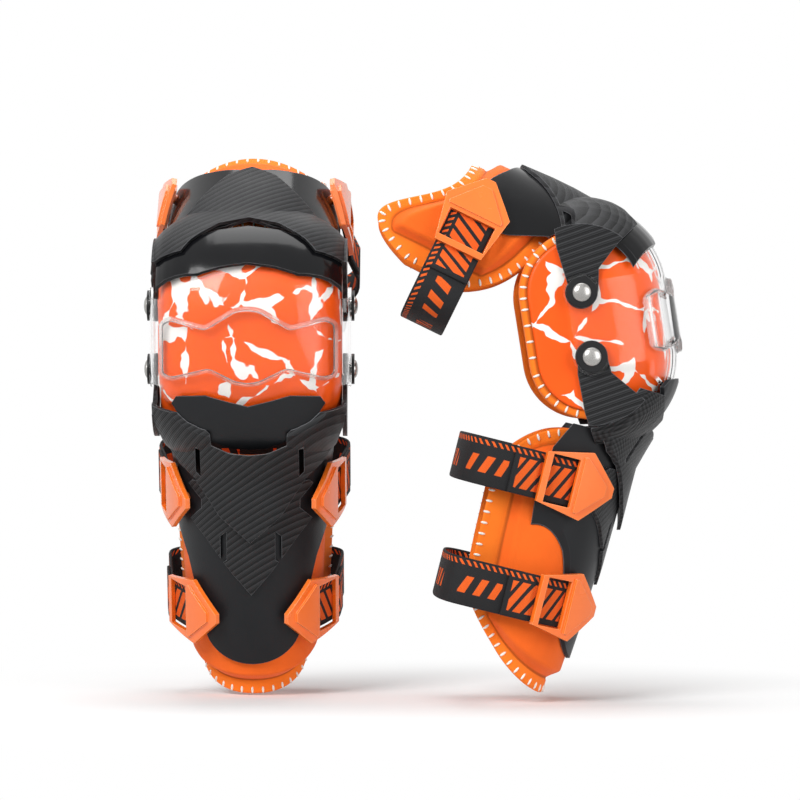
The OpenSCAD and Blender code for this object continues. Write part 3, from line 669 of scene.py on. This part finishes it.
def closed_sheet(name, outer, inner, place, material, rim):
    """Closed sheet between two grids of points in mm that meet at their edges; rim is for its finish."""
    rows, cols = len(outer), len(outer[0])
    points, index, faces = [], {}, []

    def vertex(skin, i, j):
        if i in (0, rows - 1) or j in (0, cols - 1):
            skin = 0
        key = (skin, i, j)
        if key not in index:
            index[key] = len(points)
            grid = outer if skin == 0 else inner
            points.append(place @ (Vector(grid[i][j]) * MM))
        return index[key]

    for skin in (0, 1):
        for i in range(rows - 1):
            for j in range(cols - 1):
                loop = [vertex(skin, *p) for p in ((i, j), (i, j + 1), (i + 1, j + 1), (i + 1, j))]
                faces.append(loop if skin == 0 else loop[::-1])
    mesh = plain_mesh(name, points, faces, material)
    mesh.shade_smooth()
    layer = mesh.attributes.new("rim", "FLOAT", "POINT")
    for (_, i, j), v in index.items():
        layer.data[v].value = rim[i][j]
    mesh.update()
    return linked(name, mesh)


def thinned(outer, inner, distance, roll):
    """Brings both skins of a sheet together in a round edge."""
    skins = [], []
    for outer_row, inner_row, distance_row in zip(outer, inner, distance):
        for skin in skins:
            skin.append([])
        for a, b, d in zip(outer_row, inner_row, distance_row):
            a, b = Vector(a), Vector(b)
            middle = (a + b) / 2
            full = sqrt(max(0.0, 1 - (1 - min(1.0, d / roll)) ** 2))
            for skin, p in zip(skins, (a, b)):
                skin[-1].append(middle + (p - middle) * full)
    return skins


# Moulded pads


def round_off(angle, wrap, depth):
    """How far a pad's edge draws in towards the end of its wrap."""
    return depth * (abs(angle) / wrap) ** 14


def shin_pad_low(a):
    return -272 + 52 * (abs(a) / 125) ** 2.6 + round_off(a, 126, 16)


def shin_pad_high(a):
    dip = 4 * (abs(a) / 60) ** 2 * exp(-((a / 75) ** 2)) - 30 * (abs(a) / 125) ** 6
    return -57 + dip - round_off(a, 126, 14)


def thigh_pad_low(a):
    tongue = 10 * exp(-((a / 42) ** 4))
    return 35 - tongue + 28 * (abs(a) / 114) ** 3 + round_off(a, 123, 20)


def thigh_pad_high(a):
    crest = 7 * exp(-((a / 58) ** 4))
    return 117 + crest + 52 * (abs(a) / 79) ** 4 * exp(-((a / 105) ** 4)) - round_off(a, 123, 26)


# Limb radii, lower and upper edge, wrap angle, flare of the wings, columns, rows
MOULDED_PADS = {
    "shin_pad": (SHIN_RADII, shin_pad_low, shin_pad_high, 126, 17, 150, 110),
    "thigh_pad": (THIGH_RADII, thigh_pad_low, thigh_pad_high, 123, 8, 150, 70),
}
# Angles where the wings start to flare and where the section runs straight back, and the boss's slope in mm
FLARE_ANGLE, TROUGH_ANGLE, BOSS_SLOPE = 97.0, 92.0, 9


def trough(r, angle):
    """Point of a pad's section: round to the side, then straight back."""
    a = radians(min(abs(angle), TROUGH_ANGLE))
    run = r * max(0.0, abs(angle) - TROUGH_ANGLE) * pi / 180
    side = r * sin(a) + run * cos(a)
    return copysign(side, angle), -r * cos(a) + run * sin(a)


def pad_point(pad, u, v, sizes, lift):
    """Point of a pad at u from -1 to 1 round the limb and v from 0 to 1 up it; its distance from the edge."""
    radii, low, high, wrap, flare = MOULDED_PADS[pad][:5]
    angle = u * wrap
    z0, z1 = low(angle), high(angle)
    z = z0 + (z1 - z0) * v
    limb = looked_up(radii, z) - SHELL_WALL - GAP - PAD_DEPTH
    base = limb + flare * (max(0.0, abs(angle) - FLARE_ANGLE) / (wrap - FLARE_ANGLE)) ** 1.5
    inset = min((1 - abs(u)) * wrap * base * pi / 180, z - z0, z1 - z)
    rim, boss, width = (x / MM for x in (sizes.rim_thickness, sizes.boss_thickness, sizes.rim_width))
    top = rim + (boss - rim) * ease(inset, width, width + BOSS_SLOPE)
    x, y = trough(base + lift * top, angle)
    return Vector((x, y, z)), inset


def crowded(t, power=1.7):
    """Spreads an even -1 to 1 so that it is closer towards both ends."""
    return copysign(1 - (1 - abs(t)) ** power, t)


def make_moulded_pad(pad, g, material):
    sizes = bpy.context.scene.guard_pads
    _, place, body = limb_of(pad, g)
    cols, rows = MOULDED_PADS[pad][5:]
    width = sizes.rim_width / MM
    outer, inner, distance, rim = grids = [], [], [], []
    for i in range(rows + 1):
        v = (crowded(2 * i / rows - 1) + 1) / 2
        for grid in grids:
            grid.append([])
        for j in range(cols + 1):
            u = crowded(2 * j / cols - 1)
            a, inset = pad_point(pad, u, v, sizes, 1.0)
            b, _ = pad_point(pad, u, v, sizes, 0.0)
            seam = SEAM_DEPTH * exp(-(((inset - width + 0.5) / SEAM_SPREAD) ** 2))
            spot = Vector((a.x / CREASE_ROUND, a.y / CREASE_ROUND, a.z / CREASE_ALONG + 7 * g))
            folds = noise.noise(spot) * 0.5 + 0.5
            folds *= ease(inset, width + 2, width + 12) * sizes.crease_depth / MM
            outer[-1].append(a - (a - b).normalized() * (seam + folds))
            inner[-1].append(b)
            distance[-1].append(inset)
            rim[-1].append(1 - ease(inset, width - 1.5, width + 1.5))
    outer, inner = thinned(outer, inner, distance, PAD_ROLL)
    node = f"{GUARDS[g]}_{pad}"
    made = closed_sheet(f"{node}_sewn", outer, inner, place, material, rim)
    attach(made, body)
    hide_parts(node)


# Saddles over the knee


def saddle_rows(steps):
    """Pivot height and elevation of each row of a saddle."""
    low = [(0.0, -SADDLE_SWEEP + SADDLE_SWEEP * i / steps) for i in range(steps + 1)]
    middle = [(PIVOT_SPACING / MM * i / PIVOT_STEPS, 0.0) for i in range(1, PIVOT_STEPS)]
    high = [(PIVOT_SPACING / MM, SADDLE_SWEEP * i / steps) for i in range(steps + 1)]
    return low + middle + high


def saddle_row(row, r, half, cheek_r):
    """One row of a saddle, from one cheek's back edge over the front to the other's."""
    height, e = row
    e1, e2 = radians(e * (1 + SADDLE_SPREAD)), radians(e * 90 / SADDLE_SWEEP)
    near = Vector((cos(e1), sin(e1))) * SADDLE_ROOT
    far = Vector((-cos(e2), sin(e2))) * cheek_r
    cheek = []
    for i in range(CHEEK_STEPS):
        p = far + (near - far) * (i / CHEEK_STEPS) ** 1.4
        cheek.append((half, -p.x, height + p.y))
    front = []
    for i in range(FRONT_STEPS + 1):
        a = pi * i / FRONT_STEPS
        q = SADDLE_ROOT + (r - SADDLE_ROOT) * max(0.0, sin(a)) ** (2 / DRUM_POWER)
        x = half * signed_power(cos(a), 2 / DRUM_POWER)
        from_side = FRONT_SHARES * min(i, FRONT_STEPS - i) / FRONT_STEPS
        turn = radians(e * (1 + SADDLE_SPREAD * (1 - ease(from_side, *SPREAD_ENDS))))
        front.append((x, -q * cos(turn), height + q * sin(turn)))
    return cheek + front + [(-half, y, z) for _, y, z in reversed(cheek)]


def make_saddle(name, spec, g, material, roll, node):
    r, half, wall, cheek_r = spec
    rows = saddle_rows(SWEEP_STEPS)
    outer = [saddle_row(row, r, half, cheek_r) for row in rows]
    inner = [saddle_row(row, r - wall, half - wall, cheek_r) for row in rows]
    distance = []
    for (_, e), line in zip(rows, outer):
        points = [Vector(p) for p in line]
        first, last = points[0], points[-1]
        ends = radians(SADDLE_SWEEP - abs(e)) * SADDLE_ROOT * 3
        distance.append([min((p - first).length, (p - last).length, ends) for p in points])
    outer, inner = thinned(outer, inner, distance, roll)
    rim = [[1 - ease(d, *RIM_FADE) for d in row] for row in distance]
    made = closed_sheet(name, outer, inner, knee_place(g), material, rim)
    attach(made, f"{GUARDS[g]}_knee")
    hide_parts(node)
    return made


# Bevels round the clear panels


def panel_loop():
    """Outline of the raised panel with eased corners, in mm, and its outward directions."""
    corners = [Vector(p) for p in PANEL_EDGE] + [Vector((-x, z)) for x, z in PANEL_EDGE[-2:0:-1]]
    for _ in range(2):
        cut = []
        for p, q in zip(corners, corners[1:] + corners[:1]):
            reach = min(0.25, 2.0 / (q - p).length)
            cut += [p.lerp(q, reach), q.lerp(p, reach)]
        corners = cut
    loop = []
    for p, q in zip(corners, corners[1:] + corners[:1]):
        count = max(1, round((q - p).length / PANEL_STEP))
        loop += [p.lerp(q, k / count) for k in range(count)]
    outward_ways = []
    for k in range(len(loop)):
        run = loop[(k + 1) % len(loop)] - loop[k - 1]
        outward_ways.append(Vector((-run.y, run.x)).normalized())
    return loop, outward_ways


def make_panel_edge(g, material):
    """Bevel round the raised panel, laid on the cup's own faces."""
    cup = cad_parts[f"{GUARDS[g]}_knee_cup"].data
    faces = BVHTree.FromPolygons([v.co for v in cup.vertices], [f.vertices for f in cup.polygons])
    place = knee_place(g)
    ahead = place.to_3x3() @ Vector((0, 1, 0))

    def on_cup(p):
        hit, normal = faces.ray_cast(place @ Vector((p.x * MM, CUP_FRONT, p.y * MM)), ahead)[:2]
        if hit is None:
            raise RuntimeError("The panel's edge runs off the cup")
        return hit, normal if normal.dot(ahead) < 0 else -normal

    rings = []
    for p, out in zip(*panel_loop()):
        lip, up = on_cup(p - out * BEVEL_LIP)
        top, _ = on_cup(p - out * BEVEL_TOP)
        foot, side = on_cup(p + out * BEVEL_FOOT)
        buried = (top + foot) / 2 - up * BEVEL_ROOT
        rings.append((lip + up * BEVEL_LIFT, top + up * BEVEL_CROWN, foot + side * BEVEL_LIFT, buried))
    name = f"{GUARDS[g]}_panel_edge"
    points = [p for ring in rings for p in ring]
    mesh = plain_mesh(name, points, tube_faces(len(rings), 4, closed=True), material)
    made = linked(name, outward(mesh))
    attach(made, f"{GUARDS[g]}_knee")


# Straps


def strap_line(radius, angle, half, back):
    """Strap's path in its own plane: under its clip from the slot, past the wings, round the back."""
    a = radians(angle)
    n, d = Vector((sin(a), -cos(a))), Vector((cos(a), sin(a)))
    start, stop = CLIP_LENGTH / 2 - CLIP_BAR - CLIP_SLOT, CLIP_LENGTH / 2 + CLIP_OVERRUN
    line = []
    for i in range(CLIP_STEPS + 1):
        u = start + (stop - start) * i / CLIP_STEPS
        line.append(n * (radius + GAP - u * u / 2 / CLIP_CURVE) + d * u)
    for i in range(LOOP_STEPS + 1):
        b = radians(90 * i / LOOP_STEPS)
        c, s = max(0.0, cos(b)) ** LOOP_POWER, sin(b) ** LOOP_POWER
        line.append(Vector((half * c, LOOP_START + (back - LOOP_START) * s)))
    return line + [Vector((-p.x, p.y)) for p in reversed(line[:-1])]


def webbing_section(width, thick):
    """Round-edged section: offset outwards, offset along the limb."""
    section = []
    for end in (1, -1):
        for k in range(5):
            t = pi * k / 4
            rise = end * (width / 2 - thick * 0.5 + thick * 0.5 * sin(t))
            section.append((thick * (0.5 - 0.5 * end * cos(t)), rise))
    return section


def distances(line):
    """Distance of each point along its line."""
    runs = [0.0]
    for p, q in zip(line, line[1:]):
        runs.append(runs[-1] + (q - p).length)
    return runs


def stretch_of(line, start, stop, steps):
    """Even points on part of a line."""
    runs, cut = distances(line), []
    for k in range(steps + 1):
        at = start + (stop - start) * k / steps
        i = max(j for j in range(len(line) - 1) if runs[j] <= at)
        cut.append(line[i].lerp(line[i + 1], (at - runs[i]) / (runs[i + 1] - runs[i])))
    return cut


def lay_webbing(name, line, marks, height, lift, place, material):
    """Webbing along a line in mm; marks are the distances that its woven marks follow."""
    sizes = bpy.context.scene.guard_straps
    width = sizes.width / MM
    section = webbing_section(width, sizes.thickness / MM)
    count, points = len(section), []
    for i, p in enumerate(line):
        d = (line[min(i + 1, len(line) - 1)] - line[max(i - 1, 0)]).normalized()
        n = Vector((d.y, -d.x))
        for out, rise in section:
            q = p + n * (lift + out)
            points.append(place @ (Vector((q.x, q.y, height + rise)) * MM))
    ends = [tuple(range(count))[::-1], tuple(range(len(points) - count, len(points)))]
    mesh = plain_mesh(name, points, tube_faces(len(line), count) + ends, material)
    uv = mesh.uv_layers.new(name="UVMap")
    for loop in mesh.loops:
        i, k = divmod(loop.vertex_index, count)
        uv.data[loop.index].uv = (marks[i] * MM, section[k][1] / width + 0.5)
    mesh.shade_smooth()
    return linked(name, outward(mesh))


def make_strap(strap, g, material):
    height, angle, half, back = STRAPS[strap]
    radii, place, body = limb_of(strap, g)
    radius = max(looked_up(radii, height + k * CLIP_WIDTH / 2) for k in (-1, 0, 1))
    line = strap_line(radius, angle, half, back)
    runs = distances(line)
    node = f"{GUARDS[g]}_{strap}"
    marks = [min(d, runs[-1] - d) for d in runs]
    made = lay_webbing(f"{node}_webbing", line, marks, height, 0.0, place, material)
    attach(made, body)
    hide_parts(node)
    # Returned ends, sewn down on the strap beside each clip
    lift = bpy.context.scene.guard_straps.thickness / MM + RETURN_LIFT
    start, stop = RETURNED_END
    marks = [HEM_AT - (stop - start) * (1 - k / RETURN_STEPS) for k in range(RETURN_STEPS + 1)]
    for side, way in (("outer", 1), ("inner", -1)):
        piece = stretch_of(line[::way], start, stop, RETURN_STEPS)[::way]
        over = lay_webbing(f"{node}_return_{side}", piece, marks[::way], height, lift, place, material)
        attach(over, body)


# Hard parts


def round_shading(part):
    """Shades a moulded part by the angles of its own edges."""
    stored = part.data.attributes.get("custom_normal")
    if stored:
        part.data.attributes.remove(stored)
    part.modifiers.new("Round Shading", "NODES").node_group = round_shading_tree()


def rounded_tip(part, g):
    """Shin shell whose lower edge runs in a smooth arc through the corners of the CAD's outline."""
    (half, high), low = SHELL_TIP[0], SHELL_TIP[-1][1]
    into, up = guard_place(g).inverted(), shin_place(g).to_3x3() @ Vector((0, 0, 1))
    mesh = part.data.copy()
    mesh.transform(part.matrix_world)
    for vertex in mesh.vertices:
        spot = (into @ vertex.co) / MM
        aside = abs(spot.x)
        if aside < half and spot.z < high:
            edge = looked_up(SHELL_TIP[::-1], aside)
            arc = high - (high - low) * sqrt(1 - (aside / half) ** 2)
            near = 1 - ease(spot.z, edge + 0.5, edge + TIP_REACH)
            vertex.co += up * ((arc - edge) * near * MM)
    mesh.name = f"{part.name}_rounded"
    made = linked(mesh.name, mesh)
    round_shading(made)
    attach(made, "shins")
    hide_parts(part.name)


# Rim stitches


def evenly(path, pitch):
    """Indices of a path's points, about a pitch apart."""
    chosen, run = [0], 0.0
    for k in range(1, len(path)):
        run += (path[k] - path[k - 1]).length
        if run >= pitch:
            chosen.append(k)
            run = 0.0
    return chosen


def pad_stitches(pad, sizes, pitch, inset):
    """Stitch places round a moulded pad: point, direction off the rim, direction across it, in mm."""
    fine, inner_share, reach = 600, 0.96, 5
    steps = [k / fine for k in range(fine)]
    loop = [(2 * t - 1, 0.0) for t in steps] + [(1.0, t) for t in steps]
    loop += [(1 - 2 * t, 1.0) for t in steps] + [(-1.0, 1 - t) for t in steps]
    edge = [pad_point(pad, u, v, sizes, 1.0)[0] for u, v in loop]
    places = []
    for k in evenly(edge, pitch):
        u, v = loop[k]
        run = (edge[(k + reach) % len(edge)] - edge[k - reach]).normalized()
        inside = pad_point(pad, u * inner_share, 0.5 + (v - 0.5) * inner_share, sizes, 1.0)[0]
        inward = inside - edge[k]
        inward = (inward - run * inward.dot(run)).normalized()
        off = run.cross(inward)
        if off.dot(Vector((edge[k].x, edge[k].y, 0))) < 0:
            off = -off
        places.append((edge[k] + inward * inset, off, inward))
    return places


def cheek_stitches(pitch, inset):
    """Stitch places along the back edges of a knee pad's two cheeks, in mm."""
    _, half, _, cheek_r = KNEE_PAD
    ways, spots = [], []
    for height, e in saddle_rows(150):
        a = radians(e * 90 / SADDLE_SWEEP)
        way = Vector((0, cos(a), sin(a)))
        ways.append(way)
        spots.append(Vector((half, way.y * (cheek_r - inset), height + way.z * (cheek_r - inset))))
    places = []
    for k in evenly(spots, pitch):
        for side in (1, -1):
            _, y, z = spots[k]
            places.append((Vector((side * half, y, z)), Vector((side, 0, 0)), ways[k]))
    return places


def sew(name, places, place, body, material):
    """Sets stitches on their places with the stitch tree and bakes them to a plain mesh."""
    sizes = bpy.context.scene.guard_stitches
    turn = place.to_3x3()
    mesh = bpy.data.meshes.new(name + "_places")
    mesh.from_pydata([place @ (p * MM) for p, _, _ in places], [], [])
    for label, k in (("up_from_rim", 1), ("across_rim", 2)):
        layer = mesh.attributes.new(label, "FLOAT_VECTOR", "POINT")
        for stored, item in zip(layer.data, places):
            stored.vector = turn @ item[k]
    source = linked(name + "_places", mesh)
    modifier = source.modifiers.new("Stitches", "NODES")
    modifier.node_group = stitch_tree()
    values = {"Stitch Length": sizes.length, "Thread Width": sizes.width, "Thread": material}
    for item in modifier.node_group.interface.items_tree:
        if item.in_out == "INPUT" and item.name in values:
            modifier[item.identifier] = values[item.name]
    graph = bpy.context.evaluated_depsgraph_get()
    baked = bpy.data.meshes.new_from_object(source.evaluated_get(graph))
    if not baked.polygons:
        raise RuntimeError(f"{name}: no stitches were made")
    source.modifiers.clear()
    bpy.data.objects.remove(source)
    made = linked(name, baked)
    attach(made, body)


# Operators


class GUARDS_OT_moulded_pads(bpy.types.Operator):
    """Makes the sewn shin and thigh pads"""

    bl_idname = "guards.moulded_pads"
    bl_label = "Shin and Thigh Pads"

    def execute(self, context):
        colours = context.scene.guard_colours
        fabric = fabric_finish("pad_knit", colours.pad, colours.rim)
        for g in range(len(GUARDS)):
            for pad in MOULDED_PADS:
                make_moulded_pad(pad, g, fabric)
        return {"FINISHED"}


class GUARDS_OT_knee_pads(bpy.types.Operator):
    """Makes the knee pads with their round cheeks"""

    bl_idname = "guards.knee_pads"
    bl_label = "Knee Pads"

    def execute(self, context):
        colours = context.scene.guard_colours
        fabric = fabric_finish("knee_knit", colours.pad, colours.rim)
        for g, side in enumerate(GUARDS):
            node = f"{side}_knee_pad"
            made = make_saddle(f"{node}_sewn", KNEE_PAD, g, fabric, KNEE_PAD_ROLL, node)
        return {"FINISHED"}


class GUARDS_OT_liners(bpy.types.Operator):
    """Makes the printed knee liners"""

    bl_idname = "guards.liners"
    bl_label = "Knee Liners"

    def execute(self, context):
        colours = context.scene.guard_colours
        for g, side in enumerate(GUARDS):
            printed = liner_finish(f"{side}_liner_print", g, colours.liner, colours.print_mark)
            node = f"{side}_knee_liner"
            make_saddle(f"{node}_printed", KNEE_LINER, g, printed, LINER_ROLL, node)
        return {"FINISHED"}


class GUARDS_OT_panel_edges(bpy.types.Operator):
    """Makes the bevels round the clear cups' raised panels, paled by a painted highlight"""

    bl_idname = "guards.panel_edges"
    bl_label = "Panel Edges"

    def execute(self, context):
        # Bevel material whose paleness is a painted highlight
        bevel = bevel_highlight_finish("clear_bevel_highlight")
        for g in range(len(GUARDS)):
            make_panel_edge(g, bevel)
        return {"FINISHED"}


class GUARDS_OT_straps(bpy.types.Operator):
    """Makes the woven elastic straps"""

    bl_idname = "guards.straps"
    bl_label = "Straps"

    def execute(self, context):
        colours = context.scene.guard_colours
        weave = webbing_finish("strap_weave", colours.webbing, colours.mark)
        for g in range(len(GUARDS)):
            for strap in STRAPS:
                make_strap(strap, g, weave)
        return {"FINISHED"}


class GUARDS_OT_stitches(bpy.types.Operator):
    """Sews the overlocked stitches round the pads' rims"""

    bl_idname = "guards.stitches"
    bl_label = "Rim Stitches"

    def execute(self, context):
        scene = context.scene
        thread = thread_finish("rim_thread", scene.guard_colours.thread)
        pitch, inset = scene.guard_stitches.pitch / MM, scene.guard_stitches.length / MM / 2 + STITCH_ROOM
        shin = pad_stitches("shin_pad", scene.guard_pads, pitch, inset)
        thigh = pad_stitches("thigh_pad", scene.guard_pads, pitch, inset)
        cheeks = cheek_stitches(pitch, inset)
        for g, side in enumerate(GUARDS):
            sew(f"{side}_shin_stitches", shin, shin_place(g), "shins", thread)
            sew(f"{side}_thigh_stitches", thigh, thigh_axis_place(g), f"{side}_thigh", thread)
            sew(f"{side}_knee_stitches", cheeks, knee_place(g), f"{side}_knee", thread)
        return {"FINISHED"}


class GUARDS_OT_hard_parts(bpy.types.Operator):
    """Gives the moulded and metal parts their finishes, and the shin shells their round tips"""

    bl_idname = "guards.hard_parts"
    bl_label = "Hard Parts"

    def execute(self, context):
        colours = context.scene.guard_colours
        # Shells and clips get a highlight painted on their corners
        gloss = moulded_finish("gloss_shell", colours.gloss, *GLOSS_LOOK, DARK_EDGE_HIGHLIGHT)
        matte = moulded_finish("matte_shell", colours.matte, *MATTE_LOOK, DARK_EDGE_HIGHLIGHT)
        finishes = {
            "clip": moulded_finish("clip_gloss", colours.clip, *CLIP_LOOK, CLIP_EDGE_HIGHLIGHT),
            "rivets": steel_finish("rivet_steel"),
            "washers": moulded_finish("washer_black", colours.gloss, *WASHER_LOOK),
            "knee_cup": clear_finish("clear_cup"),
            "thigh_shell": gloss,
            "knee_visor": gloss,
            "shin_shell": matte,
            "chin_plate": matte,
        }
        for g, side in enumerate(GUARDS):
            twill = twill_finish(f"{side}_twill", g)
            for node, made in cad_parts.items():
                if not node.startswith(side):
                    continue
                look = next((found for label, found in finishes.items() if label in node), twill)
                made.data.materials.clear()
                made.data.materials.append(look)
                round_shading(made)
                if node == f"{side}_shin_shell":
                    rounded_tip(made, g)
        return {"FINISHED"}


class GUARDS_OT_stage(bpy.types.Operator):
    """Sets the floor, the light and the camera"""

    bl_idname = "guards.stage"
    bl_label = "Stage"

    def execute(self, context):
        scene, sizes = context.scene, context.scene.guard_stage
        scene.view_settings.view_transform = "Standard"
        middle = Vector((sizes.centre_x, 0, sizes.centre_z))
        far, low = FLOOR_HALF, CAD_BOX[0].z - FLOOR_DROP
        points = [(x * far, y * far, low) for x, y in ((-1, -1), (1, -1), (1, 1), (-1, 1))]
        mesh = plain_mesh("pale_floor", points, [(0, 1, 2, 3)], floor_finish("pale_floor", sizes.centre_x))
        linked("pale_floor", mesh)
        world = bpy.data.worlds.new("soft_room")
        world.use_nodes = True
        tree = world.node_tree
        inputs = {"Color": (1, 1, 1, 1), "Strength": white_where_seen(tree)}
        wire(tree, tree.nodes["Background"], inputs)
        scene.world = world
        for name, (spot, wide, power) in LAMPS.items():
            lamp = bpy.data.lights.new(name, "AREA")
            lamp.size, lamp.energy = wide, power
            rig = linked(name, lamp)
            rig.location = spot
            rig.rotation_euler = (middle - Vector(spot)).to_track_quat("-Z", "Y").to_euler()
        lens = bpy.data.cameras.new("front_camera")
        lens.sensor_width = SENSOR_WIDTH
        lens.lens = SENSOR_WIDTH * sizes.distance / sizes.view_width
        eye = linked("front_camera", lens)
        eye.location = middle + Vector((0, -sizes.distance, 0))
        eye.rotation_euler = (radians(90), 0, 0)
        scene.camera = eye
        return {"FINISHED"}


# In the order that main runs them
OPERATORS = (
    GUARDS_OT_stage,
    GUARDS_OT_moulded_pads,
    GUARDS_OT_knee_pads,
    GUARDS_OT_liners,
    GUARDS_OT_panel_edges,
    GUARDS_OT_straps,
    GUARDS_OT_stitches,
    GUARDS_OT_hard_parts,
)


class GUARDS_PT_sidebar(bpy.types.Panel):
    """Lists the guards' pieces and their sizes"""

    bl_idname = "GUARDS_PT_sidebar"
    bl_label = "Knee Guards"
    bl_space_type = "VIEW_3D"
    bl_region_type = "UI"
    bl_category = "Guards"

    def draw(self, context):
        for operator in OPERATORS:
            self.layout.operator(operator.bl_idname)
        for label, group in SETTINGS.items():
            box = self.layout.box()
            for item in group.__annotations__:
                box.prop(getattr(context.scene, label), item)


CLASSES = tuple(SETTINGS.values()) + OPERATORS + (GUARDS_PT_sidebar,)


def register():
    for made in CLASSES:
        bpy.utils.register_class(made)
    for label, group in SETTINGS.items():
        setattr(bpy.types.Scene, label, PointerProperty(type=group))


def unregister():
    for label in SETTINGS:
        delattr(bpy.types.Scene, label)
    for made in reversed(CLASSES):
        bpy.utils.unregister_class(made)


def main():
    register()
    for operator in OPERATORS:
        getattr(bpy.ops.guards, operator.bl_idname.split(".")[1])()


if __name__ == "__main__":
    main()
